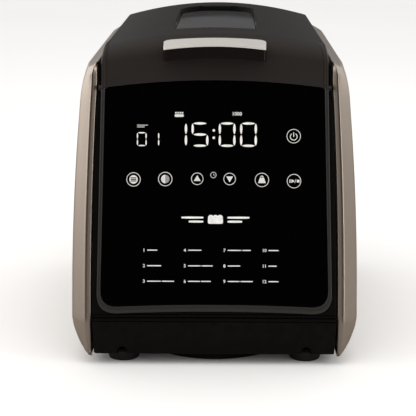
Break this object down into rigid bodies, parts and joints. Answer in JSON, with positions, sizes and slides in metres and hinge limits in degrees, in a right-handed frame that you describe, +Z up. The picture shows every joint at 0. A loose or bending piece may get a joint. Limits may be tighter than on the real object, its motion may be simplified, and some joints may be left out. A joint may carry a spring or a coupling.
{
  "type": "bread machine",
  "caption": "Countertop bread machine with a leaning touch panel, steel sides, a hinged windowed lid, a lift-out pan with a bail, and a belt-driven kneading paddle.",
  "frame": {"origin": "on the surface the machine stands on, under the middle of its bounding box", "axes": "+Z up, the control panel and lid handle face -Y, +X to the right of someone facing the panel"},
  "size_m": [0.238, 0.344, 0.2807],
  "materials": {
    "case_black": "satin moulded plastic",
    "bezel_grey": "satin grey plastic",
    "touch_glass": "gloss black glass with a printed back",
    "side_steel": "warm brushed stainless steel",
    "handle_steel": "brushed stainless steel",
    "lid_plastic": "fine-textured warm black plastic",
    "handle_black": "smooth black plastic",
    "window_glass": "smoked heat-resistant glass",
    "rubber": "matt rubber",
    "seal": "silicone",
    "screw_steel": "zinc-plated steel",
    "liner_coat": "dark non-stick coating",
    "oven_steel": "aluminised sheet steel",
    "bright_steel": "bright steel",
    "brass": "turned brass",
    "nylon": "natural nylon",
    "motor_steel": "zinc-plated can",
    "board": "circuit board",
    "display": "black display housing"
  },
  "bodies": {
    "body": {"base_tray": "case_black", "front_fascia": "case_black", "glass_bezel": "bezel_grey", "touch_glass": "touch_glass", "side_frame_right": "case_black", "side_frame_left": "case_black", "side_panel_right": "side_steel", "side_panel_left": "side_steel", "hinge_pin_right": "screw_steel", "hinge_pin_left": "screw_steel", "rear_cover": "case_black", "cord_inlet": "rubber", "top_deck": "lid_plastic", "underside_cover": "case_black", "foot_1": "rubber", "foot_screw_1": "screw_steel", "foot_2": "rubber", "foot_screw_2": "screw_steel", "foot_3": "rubber", "foot_screw_3": "screw_steel", "foot_4": "rubber", "foot_screw_4": "screw_steel", "oven_chamber": "oven_steel", "heating_element": "bright_steel", "heater_clip_right": "oven_steel", "heater_clip_left": "oven_steel", "temperature_probe": "bright_steel", "thermal_fuse": "nylon", "heat_shield": "oven_steel", "pan_seat": "oven_steel", "pan_spring_right": "bright_steel", "pan_spring_left": "bright_steel", "bearing_housing": "oven_steel", "drive_bush": "brass", "drive_belt": "rubber", "motor": "motor_steel", "motor_bracket": "oven_steel", "control_board": "board", "display_module": "display", "power_board": "board"},
    "lid": {"lid_shell": "lid_plastic", "lid_window": "window_glass", "lid_liner": "liner_coat", "inner_window_pane": "window_glass", "lid_gasket": "seal", "handle_grip": "handle_black", "handle_cap": "handle_steel"},
    "pan": {"bread_pan": "liner_coat", "pan_bearing": "brass"},
    "bail": {"pan_bail": "bright_steel"},
    "paddle": {"paddle_shaft": "bright_steel", "wing_coupling": "bright_steel", "kneading_paddle": "liner_coat"},
    "drive": {"drive_coupler": "bright_steel", "drive_shaft": "bright_steel", "large_pulley": "nylon"},
    "motor_rotor": {"motor_shaft": "bright_steel", "small_pulley": "brass", "motor_fan": "nylon"}
  },
  "joints": [
    {"name": "lid_hinge", "type": "hinge", "parent": "body", "child": "lid", "pos_m": [0, 0.146, 0.246], "axis": [-1, 0, 0], "range_deg": [0, 75]},
    {"name": "pan_lift", "type": "slide", "parent": "body", "child": "pan", "axis": [0, 0, 1], "range_m": [0, 0.008]},
    {"name": "bail_swing", "type": "hinge", "parent": "pan", "child": "bail", "pos_m": [0, 0.038, 0.1914], "axis": [1, 0, 0], "range_deg": [0, 180]},
    {"name": "drive_spin", "type": "hinge", "parent": "body", "child": "drive", "pos_m": [0, 0.038, 0.03], "axis": [0, 0, 1], "continuous": true},
    {"name": "paddle_spin", "type": "hinge", "parent": "pan", "child": "paddle", "pos_m": [0, 0.038, 0.08], "axis": [0, 0, 1], "continuous": true},
    {"name": "motor_spin", "type": "hinge", "parent": "body", "child": "motor_rotor", "pos_m": [0, -0.098, 0.03], "axis": [0, 0, 1], "continuous": true}
  ],
  "couplings": [
    {"joint": "paddle_spin", "follows": "drive_spin", "ratio": 1},
    {"joint": "motor_spin", "follows": "drive_spin", "ratio": 4}
  ]
}
